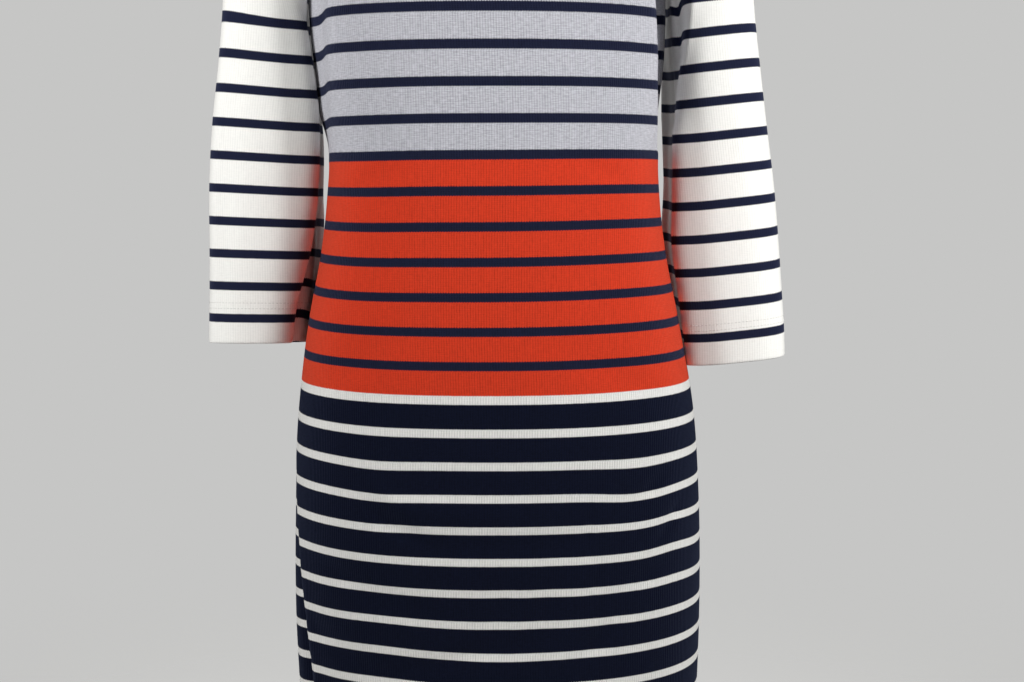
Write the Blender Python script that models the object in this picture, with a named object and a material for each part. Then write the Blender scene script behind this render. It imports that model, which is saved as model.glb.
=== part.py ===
"""Colour-blocked striped jersey dress with three-quarter sleeves, hollow, in the form it has when worn.

Five cut pieces of jersey make the dress: a front, a back, two set-in sleeves and a neckband. Each piece is
an open sheet of its true shape with a wall, and the pieces lie a seam's gap apart. The neck, the armholes,
the cuffs and the hem are open.

Units are metres, +Z is up, the front faces -Y and +X is on the right of a viewer who faces the front. The
origin is the middle of the neck opening, level with the neck points at the top of the shoulder seams.
"""
import math
from collections import namedtuple

import bpy
import numpy as np
from mathutils.kdtree import KDTree

# Cloth and seams
WALL = 0.0016                # thickness of the jersey
SEAM_GAP = 0.0003            # space left between two sewn pieces

# Driving heights and widths
NECK_HALF_WIDTH = 0.090
NECK_FRONT_DROP = 0.085
NECK_BACK_DROP = 0.022
NECKBAND_WIDTH = 0.016
NECKBAND_LIFT = 0.5          # how far the band turns up from the panels' own slope
NECKLINE_ROUNDNESS = 2.2     # 2 is half an ellipse, more is squarer
SHOULDER_TIP_X = 0.183
SHOULDER_DROP = 0.040
SHOULDER_CURVE = 1.3         # above 1 the shoulder seam starts level and steepens outwards
UNDERARM_HEIGHT = -0.222
HEM_HEIGHT = -0.920

# Roundness of the body's level sections: 2 is an ellipse, more is squarer
SQUARENESS = 2.3
FACING = {"front": -1, "back": 1}    # which way along Y each panel faces
SLOPE_STEP = 0.0002                  # distance over which the surface's slopes are taken

# Turn of the cloth over the shoulders, from upright at the underarm to level at the shoulder seam
ROLL_START = {"front": 2.4, "back": 3.0}
ROLL_END = 1.6

# The body's level sections. centre_x follows the slight sideways lean of the worn form, half_width is the
# reach of the whole torso, and the depths run from the side seams forward and back.
BodySection = namedtuple("BodySection", "height centre_x half_width front back")
BODY_SECTIONS = [
    BodySection(-0.920, 0.0110, 0.1810, 0.1160, 0.1040),
    BodySection(-0.860, 0.0108, 0.1832, 0.1180, 0.1070),
    BodySection(-0.780, 0.0100, 0.1853, 0.1215, 0.1120),
    BodySection(-0.680, 0.0095, 0.1835, 0.1280, 0.1190),
    BodySection(-0.600, 0.0092, 0.1775, 0.1310, 0.1170),
    BodySection(-0.520, 0.0072, 0.1650, 0.1290, 0.1080),
    BodySection(-0.460, 0.0070, 0.1530, 0.1255, 0.0980),
    BodySection(-0.420, 0.0070, 0.1480, 0.1230, 0.0920),
    BodySection(-0.380, 0.0070, 0.1465, 0.1195, 0.0890),
    BodySection(-0.340, 0.0065, 0.1515, 0.1160, 0.0900),
    BodySection(-0.300, 0.0050, 0.1565, 0.1120, 0.0930),
    BodySection(-0.260, 0.0035, 0.1585, 0.1085, 0.0960),
    BodySection(-0.222, 0.0020, 0.1590, 0.1045, 0.0980),
    BodySection(-0.200, 0.0016, 0.1612, 0.1030, 0.0985),
    BodySection(-0.160, 0.0012, 0.1640, 0.1000, 0.0985),
    BodySection(-0.120, 0.0008, 0.1680, 0.0965, 0.0970),
    BodySection(-0.080, 0.0004, 0.1780, 0.0925, 0.0945),
    BodySection(-0.040, 0.0000, 0.2050, 0.0880, 0.0910),
    BodySection(0.000, 0.0000, 0.2300, 0.0820, 0.0870),
]

# The armhole seam's distance from the centre, from the underarm to the shoulder tip
ArmholeSection = namedtuple("ArmholeSection", "height reach")
ARMHOLE_SECTIONS = [
    ArmholeSection(UNDERARM_HEIGHT, 0.1590),
    ArmholeSection(-0.200, 0.1555),
    ArmholeSection(-0.160, 0.1515),
    ArmholeSection(-0.120, 0.1510),
    ArmholeSection(-0.080, 0.1570),
    ArmholeSection(-SHOULDER_DROP, SHOULDER_TIP_X),
]

# The sleeves' sections below the cap, hanging beside the body and just clear of it
SleeveSection = namedtuple("SleeveSection", "height reach half_width half_depth")
SLEEVE_SECTIONS = {
    "left": [
        SleeveSection(-0.2650, 0.1965, 0.0395, 0.0510),
        SleeveSection(-0.3000, 0.1963, 0.0433, 0.0515),
        SleeveSection(-0.3550, 0.1968, 0.0493, 0.0520),
        SleeveSection(-0.4100, 0.1989, 0.0506, 0.0515),
        SleeveSection(-0.4600, 0.2011, 0.0491, 0.0505),
        SleeveSection(-0.5000, 0.2040, 0.0470, 0.0490),
        SleeveSection(-0.5435, 0.2080, 0.0445, 0.0475),
    ],
    "right": [
        SleeveSection(-0.2650, 0.2022, 0.0392, 0.0490),
        SleeveSection(-0.3000, 0.2053, 0.0403, 0.0490),
        SleeveSection(-0.3550, 0.2098, 0.0428, 0.0490),
        SleeveSection(-0.4100, 0.2140, 0.0460, 0.0490),
        SleeveSection(-0.4500, 0.2162, 0.0478, 0.0485),
        SleeveSection(-0.5000, 0.2215, 0.0465, 0.0480),
        SleeveSection(-0.5370, 0.2253, 0.0455, 0.0475),
        SleeveSection(-0.5595, 0.2271, 0.0446, 0.0470),
    ],
}

# How far back the middle of a sleeve hangs, in a straight line from below the cap to the cuff
SleeveLine = namedtuple("SleeveLine", "top cuff")
SLEEVE_CENTRE_Y = {"left": SleeveLine(0.0115, 0.0050), "right": SleeveLine(0.0195, 0.0090)}
SLEEVE_TILT = {"left": 0.084, "right": 0.107}    # how much higher the outer side of a sleeve's ring is
CAP_FULLNESS = 0.75                              # how far the cap bulges, in chord lengths

# How far outwards and upwards the sleeve goes as it leaves the armhole seam
Leave = namedtuple("Leave", "outward up")
LEAVE_SHOULDER = Leave(0.88, -0.42)
LEAVE_UNDERARM = Leave(0.43, -0.90)

# Large folds. Angles are in degrees. On the body 0 is the centre front, 90 the side at +X and 180 the centre
# back. On a sleeve 0 is the outer side, 90 the front and 180 the side next to the body. A fold with a
# negative depth is a trough and one with a positive depth a ridge.
Fold = namedtuple("Fold", "top_angle top_height top_depth low_angle low_height low_depth half_width")
BODY_FOLDS = [
    Fold(-75, -0.225, -0.0125, -79, -0.350, -0.0030, 0.0090),
    Fold(-64, -0.225, 0.0020, -68, -0.350, 0.0010, 0.0110),
    Fold(76, -0.225, -0.0120, 80, -0.355, -0.0030, 0.0090),
    Fold(65, -0.225, 0.0020, 69, -0.355, 0.0010, 0.0110),
    Fold(-106, -0.235, -0.0080, -101, -0.340, -0.0030, 0.0100),
    Fold(104, -0.235, -0.0070, 101, -0.340, -0.0030, 0.0100),
    Fold(-82, -0.640, -0.0020, -69, -0.930, -0.0200, 0.0105),
    Fold(-72, -0.640, 0.0010, -57, -0.930, 0.0040, 0.0130),
    Fold(81, -0.560, -0.0020, 78, -0.930, -0.0060, 0.0110),
    Fold(-142, -0.620, -0.0020, -136, -0.930, -0.0090, 0.0170),
    Fold(-121, -0.620, 0.0010, -117, -0.930, 0.0040, 0.0200),
    Fold(139, -0.600, -0.0020, 146, -0.930, -0.0080, 0.0180),
    Fold(176, -0.660, -0.0010, 172, -0.930, -0.0050, 0.0220),
]
SLEEVE_FOLDS = {
    "left": [
        Fold(162, -0.250, -0.0030, 172, -0.320, -0.0020, 0.0100),
        Fold(148, -0.470, -0.0020, 140, -0.550, -0.0045, 0.0090),
        Fold(222, -0.240, -0.0060, 205, -0.330, -0.0020, 0.0110),
        Fold(255, -0.380, -0.0020, 236, -0.520, -0.0045, 0.0120),
    ],
    "right": [
        Fold(146, -0.240, -0.0100, 176, -0.340, -0.0030, 0.0150),
        Fold(112, -0.240, 0.0015, 158, -0.340, 0.0010, 0.0120),
        Fold(218, -0.240, -0.0060, 203, -0.330, -0.0020, 0.0110),
        Fold(251, -0.390, -0.0020, 233, -0.530, -0.0045, 0.0120),
    ],
}
FOLD_END = 0.022             # length over which a fold dies away past its ends

# Colour blocks of the body from the hem up, each with its count of mesh rows
ColourBlock = namedtuple("ColourBlock", "material top rows")
COLOUR_BLOCKS = [
    ColourBlock("navy_jersey", -0.574, 12),
    ColourBlock("orange_jersey", -0.382, 7),
    ColourBlock("grey_marl_jersey", UNDERARM_HEIGHT, 6),
]

# Mesh density
YOKE_ROWS = 10               # rows from the underarm to the shoulder; the sleeves have two columns for each
NECK_COLUMNS = 7             # columns from the centre to the neck point
SHOULDER_COLUMNS = 11        # columns from the neck point to the side
NECK_CROWDING = 1.3          # above 1 the columns crowd towards the neck point
SIDE_CROWDING = 1.35         # above 1 the columns crowd towards the side, where the folds are
CAP_ROWS = 6
TUBE_ROWS = 11
NECKBAND_ROWS = 2

# Walls at the seams
SEAM_REACH = 3 * SEAM_GAP    # points nearer than this meet at a seam
SHARP_DEGREES = 50           # edges that turn by more than this are shaded sharp

# Looks of each cloth: linear colour and roughness
Finish = namedtuple("Finish", "color roughness")
FINISHES = {
    "navy_jersey": Finish((0.013, 0.016, 0.034), 0.92),
    "orange_jersey": Finish((0.58, 0.040, 0.016), 0.90),
    "grey_marl_jersey": Finish((0.46, 0.46, 0.49), 0.92),
    "white_jersey": Finish((0.80, 0.79, 0.76), 0.90),
}


# A cut piece: rows of points by columns on its outer face. closed joins the last column to the first, flip
# says that the columns run the other way round, cloth_of_row picks one of the cloths for each row, and
# top_normals are the normals of the last rows where the surface gives them better than the grid does.
Piece = namedtuple("Piece", "name grid closed flip cloths cloth_of_row top_normals", defaults=[None])


def smooth_column(rows, column, heights):
    """Read one column of a table at the given heights, on a smooth curve through its rows."""
    ordered = sorted(rows, key=lambda row: row.height)
    knots = np.array([row.height for row in ordered])
    values = np.array([getattr(row, column) for row in ordered])
    slopes = np.gradient(values, knots)
    at = np.clip(np.asarray(heights, dtype=float), knots[0], knots[-1])
    index = np.clip(np.searchsorted(knots, at) - 1, 0, len(knots) - 2)
    span = knots[index + 1] - knots[index]
    s = (at - knots[index]) / span
    start = values[index] * (1 + 2 * s) * (1 - s) ** 2 + slopes[index] * span * s * (1 - s) ** 2
    end = values[index + 1] * s * s * (3 - 2 * s) - slopes[index + 1] * span * s * s * (1 - s)
    return start + end


def signed_power(values, exponent):
    """Raise the size of each value to a power and keep its sign."""
    return np.sign(values) * np.abs(values) ** exponent


def shoulder_line(x):
    """Height of the shoulder seam at a distance x from the centre."""
    along = np.clip((np.abs(x) - NECK_HALF_WIDTH) / (SHOULDER_TIP_X - NECK_HALF_WIDTH), 0, None)
    return -SHOULDER_DROP * along ** SHOULDER_CURVE


def neckline(x, drop):
    """Height of the neck seam at a distance x from the centre."""
    across = np.clip(np.abs(x) / NECK_HALF_WIDTH, 0, 1)
    return -drop * np.sqrt(1 - across ** NECKLINE_ROUNDNESS)


def fold_depth(folds, angles, heights, radius):
    """Add up the folds' displacement at each angle and height of a tube with the given radius."""
    total = np.zeros_like(heights)
    for fold in folds:
        along = (heights - fold.top_height) / (fold.low_height - fold.top_height)
        inside = np.clip(along, 0, 1)
        beyond = np.abs(along - inside) * abs(fold.low_height - fold.top_height)
        line_angle = fold.top_angle + (fold.low_angle - fold.top_angle) * inside
        away = np.radians((angles - line_angle + 180) % 360 - 180) * radius
        depth = fold.top_depth + (fold.low_depth - fold.top_depth) * inside
        total += depth * np.exp(-(away / fold.half_width) ** 2 - (beyond / FOLD_END) ** 2)
    return total


def body_rows():
    """Levels of the panel's mesh rows: heights below the underarm, then fractions of the yoke."""
    heights = []
    low = HEM_HEIGHT
    for block in COLOUR_BLOCKS:
        heights.extend(np.linspace(low, block.top, block.rows, endpoint=False))
        low = block.top
    yoke = (1 - np.cos(np.linspace(0, math.pi, YOKE_ROWS + 1))) / 2
    return np.array(heights), yoke


def panel_angles(torso, reach):
    """Angles around the torso's section of each point of a half row, from the centre to the edge.

    The columns inside the neck opening keep their distance from the centre in every row. They crowd towards
    the neck point, where the neckline is steep, and the columns beyond it crowd towards the side.
    """
    turn = 1 - (1 - np.linspace(0, 1, NECK_COLUMNS + 1)) ** NECK_CROWDING
    inner = NECK_HALF_WIDTH * np.sin(turn * math.pi / 2)
    inner_angles = np.arcsin((inner[None, :] / torso[:, None]) ** (SQUARENESS / 2))
    edge = np.arcsin(np.clip(reach / torso, 0, 1) ** (SQUARENESS / 2))[:, None]
    outer = 1 - (1 - np.linspace(0, 1, SHOULDER_COLUMNS + 1)[1:]) ** SIDE_CROWDING
    outer_angles = inner_angles[:, -1:] + (edge - inner_angles[:, -1:]) * outer[None, :]
    return np.concatenate([inner_angles, outer_angles], axis=1)


def panel_depth(side, x, z):
    """Distance forward or back of the torso's surface, rolled over towards the shoulder seam."""
    width = np.maximum(smooth_column(BODY_SECTIONS, "half_width", z), np.abs(x))
    section = (1 - (np.abs(x) / width) ** SQUARENESS) ** (1 / SQUARENESS)
    climb = np.clip((z - UNDERARM_HEIGHT) / (shoulder_line(x) - UNDERARM_HEIGHT), 0, 1)
    roll = (1 - climb ** ROLL_START[side]) ** (1 / ROLL_END)
    return smooth_column(BODY_SECTIONS, side, z) * section * roll


def yoke_normals(side, x, z):
    """Unit normals of the yoke's outer face, from the slopes of the torso's surface."""
    facing = FACING[side]
    slope_x = (panel_depth(side, x + SLOPE_STEP, z) - panel_depth(side, x - SLOPE_STEP, z)) / SLOPE_STEP / 2
    slope_z = (panel_depth(side, x, z + SLOPE_STEP) - panel_depth(side, x, z - SLOPE_STEP)) / SLOPE_STEP / 2
    normals = np.stack([-slope_x, facing * np.ones_like(x), -slope_z], axis=-1)
    return normals / np.linalg.norm(normals, axis=-1, keepdims=True)


def panel_grid(side):
    """Points of the front or back panel's outer surface, as rows from the hem up by columns across.

    Also gives the normals of the rows above the underarm.
    """
    facing = FACING[side]
    drop = NECK_FRONT_DROP if side == "front" else NECK_BACK_DROP
    skirt_heights, yoke = body_rows()

    # Levels of each row at its edge, and of each point: the yoke's rows rise to the shoulder and the neck
    levels = np.concatenate([skirt_heights, UNDERARM_HEIGHT + (-SHOULDER_DROP - UNDERARM_HEIGHT) * yoke])
    torso = smooth_column(BODY_SECTIONS, "half_width", levels)
    reach = np.where(levels > UNDERARM_HEIGHT, smooth_column(ARMHOLE_SECTIONS, "reach", levels), torso)
    half = panel_angles(torso, reach)
    across = np.concatenate([-half[:, :0:-1], half], axis=1)
    x = torso[:, None] * signed_power(np.sin(across), 2 / SQUARENESS)
    rise = np.concatenate([np.zeros(len(skirt_heights)), yoke])[:, None]
    top = np.where(np.abs(x[-1]) < NECK_HALF_WIDTH - 1e-6, neckline(x[-1], drop), shoulder_line(x[-1]))
    z = np.where(rise > 0, UNDERARM_HEIGHT + (top[None, :] - UNDERARM_HEIGHT) * rise, levels[:, None])
    y = facing * panel_depth(side, x, z)
    normals = yoke_normals(side, x[-YOKE_ROWS:], z[-YOKE_ROWS:])

    # Folds push the cloth out or in, square to its level section
    width_here = np.maximum(smooth_column(BODY_SECTIONS, "half_width", z), np.abs(x))
    depth_here = smooth_column(BODY_SECTIONS, side, z)
    section = (1 - (np.abs(x) / width_here) ** SQUARENESS) ** (1 / SQUARENESS)
    slope_x = signed_power(x / width_here, SQUARENESS - 1) / width_here
    slope_y = facing * section ** (SQUARENESS - 1) / depth_here
    length = np.hypot(slope_x, slope_y)
    angles = np.degrees(np.arctan2(signed_power(x / width_here, SQUARENESS / 2),
                                   -facing * section ** (SQUARENESS / 2)))
    push = fold_depth(BODY_FOLDS, angles, z, (width_here + depth_here) / 2)
    x = x + push * slope_x / length + smooth_column(BODY_SECTIONS, "centre_x", z)
    y = y + push * slope_y / length + facing * SEAM_GAP / 2
    return np.stack([x, y, z], axis=-1), normals


def join_loops(first, second):
    """Join two open edges with common ends into one closed loop, with the ends averaged."""
    corners = (first[0] + second[-1]) / 2, (first[-1] + second[0]) / 2
    return np.concatenate([[corners[0]], first[1:-1], [corners[1]], second[1:-1]])


def armhole_loop(front, back, sign):
    """Armhole seam of one side: from the shoulder tip down the front and up the back."""
    column = -1 if sign > 0 else 0
    front_edge = front[-YOKE_ROWS - 1:, column]
    back_edge = back[-YOKE_ROWS - 1:, column]
    return join_loops(front_edge[::-1], back_edge)


def sleeve_grid(name, front, back):
    """Points of a sleeve's outer surface, as rings from the armhole seam down by columns around."""
    sign = -1 if name == "left" else 1
    sections = SLEEVE_SECTIONS[name]
    seam = armhole_loop(front, back, sign)
    seam = seam + np.array([sign * SEAM_GAP, 0, 0])
    around = np.linspace(0, 2 * math.pi, len(seam), endpoint=False)

    # Rings of the tube, with the outer side higher than the side next to the body
    heights = np.linspace(sections[0].height, sections[-1].height, TUBE_ROWS + 1)[:, None]
    column = {key: smooth_column(sections, key, heights) for key in SleeveSection._fields[1:]}
    beyond = column["half_width"] * np.cos(around)
    line = SLEEVE_CENTRE_Y[name]
    centre_y = line.top + (line.cuff - line.top) * (heights[0] - heights) / (heights[0] - heights[-1])
    x = sign * (column["reach"] + beyond)
    y = centre_y - column["half_depth"] * np.sin(around)
    z = heights + SLEEVE_TILT[name] * beyond
    tube = np.stack([x, y, z], axis=-1)

    # The cap leaves the seam outwards at the shoulder and mostly downwards at the underarm
    under = np.sin(around / 2) ** 2
    outward = LEAVE_SHOULDER.outward * (1 - under) + LEAVE_UNDERARM.outward * under
    up = LEAVE_SHOULDER.up * (1 - under) + LEAVE_UNDERARM.up * under
    leave = np.stack([sign * outward, np.zeros_like(under), up], axis=-1)
    leave /= np.linalg.norm(leave, axis=-1, keepdims=True)
    arrive = tube[1] - tube[0]
    arrive /= np.linalg.norm(arrive, axis=-1, keepdims=True)
    chord = np.linalg.norm(tube[0] - seam, axis=-1, keepdims=True) * CAP_FULLNESS
    rings = []
    for s in np.linspace(0, 1, CAP_ROWS + 1)[:-1]:
        start = seam * (1 + 2 * s) * (1 - s) ** 2 + leave * chord * s * (1 - s) ** 2
        end = tube[0] * s * s * (3 - 2 * s) - arrive * chord * s * s * (1 - s)
        rings.append(start + end)
    grid = np.concatenate([np.array(rings), tube])

    # Folds push the cloth out or in, square to the sleeve, and leave the seam where it is
    angles = np.broadcast_to(np.degrees(around), grid.shape[:2])
    push = fold_depth(SLEEVE_FOLDS[name], angles, grid[..., 2], sections[0].half_depth)
    push[0] = 0
    direction = np.stack([sign * np.cos(around), -np.sin(around), np.zeros_like(around)], axis=-1)
    return grid + push[..., None] * direction


def neckband_grid(front, back, front_normals, back_normals):
    """Points of the neckband's outer surface, as rings from the neck seam up by columns around."""
    middle = front.shape[1] // 2
    span = slice(middle - NECK_COLUMNS, middle + NECK_COLUMNS + 1)
    seam = join_loops(front[-1, span], back[-1, span][::-1])
    facing = join_loops(front_normals[-1, span], back_normals[-1, span][::-1])

    # The band carries on from the panels, square to the seam, and turns up a little
    along = np.roll(seam, -1, axis=0) - np.roll(seam, 1, axis=0)
    along /= np.linalg.norm(along, axis=-1, keepdims=True)
    rise = np.cross(facing, along)
    rise = rise / np.linalg.norm(rise, axis=-1, keepdims=True) + np.array([0, 0, NECKBAND_LIFT])
    rise -= along * (rise * along).sum(axis=-1, keepdims=True)
    rise /= np.linalg.norm(rise, axis=-1, keepdims=True)
    steps = np.linspace(SEAM_GAP, NECKBAND_WIDTH, NECKBAND_ROWS + 1)
    return seam[None] + rise[None] * steps[:, None, None]


def make_materials():
    """Make one plain material for each cloth."""
    materials = {}
    for name, finish in FINISHES.items():
        material = bpy.data.materials.new(name)
        material.use_nodes = True
        shader = material.node_tree.nodes["Principled BSDF"]
        shader.inputs["Base Color"].default_value = (*finish.color, 1)
        shader.inputs["Roughness"].default_value = finish.roughness
        shader.inputs["Metallic"].default_value = 0
        materials[name] = material
    return materials


def outward_normals(piece):
    """Unit normals of a piece's outer face, one at each point of its grid, from the cells around it."""
    grid = piece.grid
    if piece.closed:
        grid = np.concatenate([grid, grid[:, :1]], axis=1)
    cells = np.cross(grid[1:, 1:] - grid[:-1, :-1], grid[1:, :-1] - grid[:-1, 1:])
    cells /= np.linalg.norm(cells, axis=-1, keepdims=True)
    normals = np.zeros_like(grid)
    for row in (slice(0, -1), slice(1, None)):
        for column in (slice(0, -1), slice(1, None)):
            normals[row, column] += cells
    if piece.closed:
        normals[:, 0] += normals[:, -1]
        normals = normals[:, :-1]
    if piece.flip:
        normals = -normals
    normals /= np.linalg.norm(normals, axis=-1, keepdims=True)
    if piece.top_normals is not None:
        normals[-len(piece.top_normals):] = piece.top_normals
    return normals


def shared_normals(pieces):
    """Normals of every piece, with one shared normal for points that meet at a seam.

    The walls behind a seam then meet edge to edge. Faces more than a right angle apart, which look at each
    other across a sharp crease such as the underarm's, do not share.
    """
    points = np.concatenate([piece.grid.reshape(-1, 3) for piece in pieces])
    own = np.concatenate([outward_normals(piece).reshape(-1, 3) for piece in pieces])
    tree = KDTree(len(points))
    for index, point in enumerate(points):
        tree.insert(point, index)
    tree.balance()
    shared = own.copy()
    for index, point in enumerate(points):
        meeting = own[[found for _, found, _ in tree.find_range(point, SEAM_REACH)]]
        total = meeting[meeting @ own[index] > 0].sum(axis=0)
        shared[index] = total / np.linalg.norm(total)
    sizes = np.cumsum([piece.grid.shape[0] * piece.grid.shape[1] for piece in pieces])
    parts = np.split(shared, sizes[:-1])
    return [part.reshape(piece.grid.shape) for part, piece in zip(parts, pieces)]


def add_piece(collection, piece, normals, materials):
    """Add one cloth piece as a solid: its grid as the outer face, with a wall behind it."""
    rows, columns = piece.grid.shape[:2]
    wall = piece.grid - normals * WALL
    points = np.concatenate([piece.grid.reshape(-1, 3), wall.reshape(-1, 3)])
    inner = rows * columns
    faces = []
    face_rows = []

    def add_face(face, row):
        faces.append(face[::-1] if piece.flip else face)
        face_rows.append(row)

    def halves(corners):
        """The two triangles of a cell, cut along its shorter diagonal."""
        falling = np.linalg.norm(points[corners[0]] - points[corners[2]])
        rising = np.linalg.norm(points[corners[1]] - points[corners[3]])
        first = 0 if falling < rising else 1
        return [tuple(corners[(first + step) % 4] for step in order) for order in ((0, 1, 2), (2, 3, 0))]

    # The two sides of the wall are cut along the same diagonals, so that it keeps its thickness
    for row in range(rows - 1):
        for column in range(columns if piece.closed else columns - 1):
            after = (column + 1) % columns
            low, high = row * columns, (row + 1) * columns
            for face in halves((low + column, low + after, high + after, high + column)):
                add_face(face, row)
                add_face(tuple(inner + index for index in reversed(face)), row)

    # Rims along the first and last rows, and along the sides of an open grid
    last = (rows - 1) * columns
    rims = []
    for column in range(columns if piece.closed else columns - 1):
        after = (column + 1) % columns
        rims.append(((column, inner + column, inner + after, after), 0))
        rims.append(((last + after, inner + last + after, inner + last + column, last + column), rows - 2))
    if not piece.closed:
        for row in range(rows - 1):
            low, high = row * columns, (row + 1) * columns
            rims.append(((low, high, inner + high, inner + low), row))
            low, high = low + columns - 1, high + columns - 1
            rims.append(((high, low, inner + low, inner + high), row))
    for corners, row in rims:
        for face in halves(corners):
            add_face(face, row)

    mesh = bpy.data.meshes.new(piece.name)
    mesh.from_pydata(points.tolist(), [], faces)
    for cloth in piece.cloths:
        mesh.materials.append(materials[cloth])
    for polygon, row in zip(mesh.polygons, face_rows):
        polygon.material_index = piece.cloth_of_row[row]
    mesh.shade_smooth()
    mesh.set_sharp_from_angle(angle=math.radians(SHARP_DEGREES))
    collection.objects.link(bpy.data.objects.new(piece.name, mesh))


def make_pieces():
    """Work out the grid of every cut piece."""
    front, front_normals = panel_grid("front")
    back, back_normals = panel_grid("back")
    cloths = [block.material for block in COLOUR_BLOCKS]
    cloth_of_row = []
    for index, block in enumerate(COLOUR_BLOCKS):
        cloth_of_row.extend([index] * block.rows)
    cloth_of_row.extend([len(COLOUR_BLOCKS) - 1] * YOKE_ROWS)
    pieces = [
        Piece("front", front, False, False, cloths, cloth_of_row, front_normals),
        Piece("back", back, False, True, cloths, cloth_of_row, back_normals),
    ]
    for name in SLEEVE_SECTIONS:
        grid = sleeve_grid(name, front, back)
        pieces.append(Piece(f"sleeve_{name}", grid, True, name == "left", ["white_jersey"], [0] * len(grid)))
    band = neckband_grid(front, back, front_normals, back_normals)
    pieces.append(Piece("neckband", band, True, False, ["grey_marl_jersey"], [0] * len(band)))
    return pieces


def main():
    """Build the dress in a collection of its own."""
    for leftover in list(bpy.data.objects):
        bpy.data.objects.remove(leftover, do_unlink=True)
    collection = bpy.data.collections.new("sweater_dress")
    bpy.context.scene.collection.children.link(collection)
    materials = make_materials()
    pieces = make_pieces()
    for piece, normals in zip(pieces, shared_normals(pieces)):
        add_piece(collection, piece, normals, materials)


main()
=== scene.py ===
"""Looks of the striped jersey dress: thin cloth with folds, knitted stripes, turned hems and stitches.

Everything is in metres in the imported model's frame: +Z is up, the front faces -Y, +X is on the right of a
viewer who faces the front, and the origin is the middle of the neck opening. The dress hangs hollow, in the
form it has when worn. Each cut piece is one thin shell that stands for the solid of the same name.
"""
from __future__ import annotations

import logging
import math
from dataclasses import dataclass, field
from enum import Enum
from typing import Any, Sequence

import bpy
import numpy as np
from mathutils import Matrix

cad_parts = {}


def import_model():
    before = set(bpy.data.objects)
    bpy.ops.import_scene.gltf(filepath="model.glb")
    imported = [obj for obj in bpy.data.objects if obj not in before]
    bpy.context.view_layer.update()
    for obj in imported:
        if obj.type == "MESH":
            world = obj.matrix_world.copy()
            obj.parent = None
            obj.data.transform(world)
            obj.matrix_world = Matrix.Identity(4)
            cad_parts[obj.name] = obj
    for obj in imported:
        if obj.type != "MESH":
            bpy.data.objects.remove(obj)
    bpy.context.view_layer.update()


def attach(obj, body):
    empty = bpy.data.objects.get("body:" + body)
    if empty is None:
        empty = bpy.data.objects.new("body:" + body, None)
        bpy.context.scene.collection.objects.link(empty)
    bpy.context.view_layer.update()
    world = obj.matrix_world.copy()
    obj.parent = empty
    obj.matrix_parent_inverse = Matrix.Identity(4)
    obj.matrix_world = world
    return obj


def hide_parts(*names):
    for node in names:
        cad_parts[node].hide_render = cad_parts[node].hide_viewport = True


log = logging.getLogger("dress")

UV_NAME = "cloth"            # across the wales and along them, in metres of cloth
STRIPE_REPEAT = 0.030        # one stripe repeat of the flat cloth
COUNT_STEP = 0.0005          # step down the cloth in which its stripes are counted
SHARP_ANGLE = math.radians(60)    # edges that turn by more are shaded sharp

THICKNESS = 0.0010           # thickness of the jersey
SEAM_GAP = 0.0003            # space between two sewn pieces
SEAM_DIP = 0.0012            # how far the cloth dips into a seam
SEAM_REACH = 0.0028          # width of that dip on each side
HEM_ALLOWANCE = 0.038        # cloth turned up inside at the hem and the cuffs
HEM_RADIUS = 0.0012          # outer radius of that turn
HEM_TURN_ROWS = 6
STITCH_INSET = 0.002         # from the end of the turned cloth to the first row of stitches
TWIN_NEEDLE = 0.005          # distance between the two rows of stitches
THREAD_LIFT = 0.0001         # how far the stitches' middle stands off the cloth

# A crease beside its trough, in half widths of its steeper side, or of its wider side for the last one
LIP_AWAY = 2.1               # where the lip stands
LIP_WIDTH = 1.3
SLIP_START = 0.25            # how suddenly the courses start to slip
SLIP_REACH = 2.2             # how far the slip reaches on the wider side
LARGEST_POWER = 50           # keeps the exponential in range


class Side(Enum):
    """The two panels of the body, by the way they face along Y."""

    FRONT = -1
    BACK = 1


class Arm(Enum):
    """The two sleeves, by the viewer's side they are on along X."""

    LEFT = -1
    RIGHT = 1


# ---------------------------------------- tools


def linear(colour: str) -> tuple[float, float, float, float]:
    """Turn an sRGB hex colour into a linear one.

    Args:
        colour: six hex digits.

    Returns:
        Red, green, blue and an alpha of one.
    """
    values = [int(colour[at:at + 2], 16) / 255 for at in (0, 2, 4)]
    red, green, blue = [v / 12.92 if v <= 0.04045 else ((v + 0.055) / 1.055) ** 2.4 for v in values]
    return red, green, blue, 1.0


def darker(colour: str, share: float) -> tuple[float, float, float, float]:
    """Turn an sRGB hex colour into a linear one with a share of its light."""
    red, green, blue, _ = linear(colour)
    return share * red, share * green, share * blue, 1.0


def add_node(tree: bpy.types.NodeTree, kind: str, inputs: dict[Any, Any] | None = None,
             **settings: Any) -> bpy.types.Node:
    """Add a node with its settings, input values and links.

    Args:
        tree: the tree that it goes in.
        kind: the node's type.
        inputs: for each input, by name or number, a value or the socket that feeds it.
        settings: the node's own properties.

    Returns:
        The new node.
    """
    node = tree.nodes.new(kind)
    for name, value in settings.items():
        setattr(node, name, value)
    for key, value in (inputs or {}).items():
        if isinstance(value, bpy.types.NodeSocket):
            tree.links.new(value, node.inputs[key])
        else:
            node.inputs[key].default_value = value
    return node


def mix_colours(tree: bpy.types.NodeTree, amount: Any, first: Any, second: Any, blend: str = "MIX"
                ) -> bpy.types.NodeSocket:
    """Add a node that mixes two colours, and give its result."""
    return add_node(tree, "ShaderNodeMix", {0: amount, 6: first, 7: second}, data_type="RGBA",
                    blend_type=blend).outputs[2]


def add_material(name: str) -> tuple[bpy.types.Material, bpy.types.NodeTree, bpy.types.Node]:
    """Make a material, and give it with its nodes and its shader."""
    made = bpy.data.materials.new(name)
    made.use_nodes = True
    return made, made.node_tree, made.node_tree.nodes["Principled BSDF"]


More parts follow.
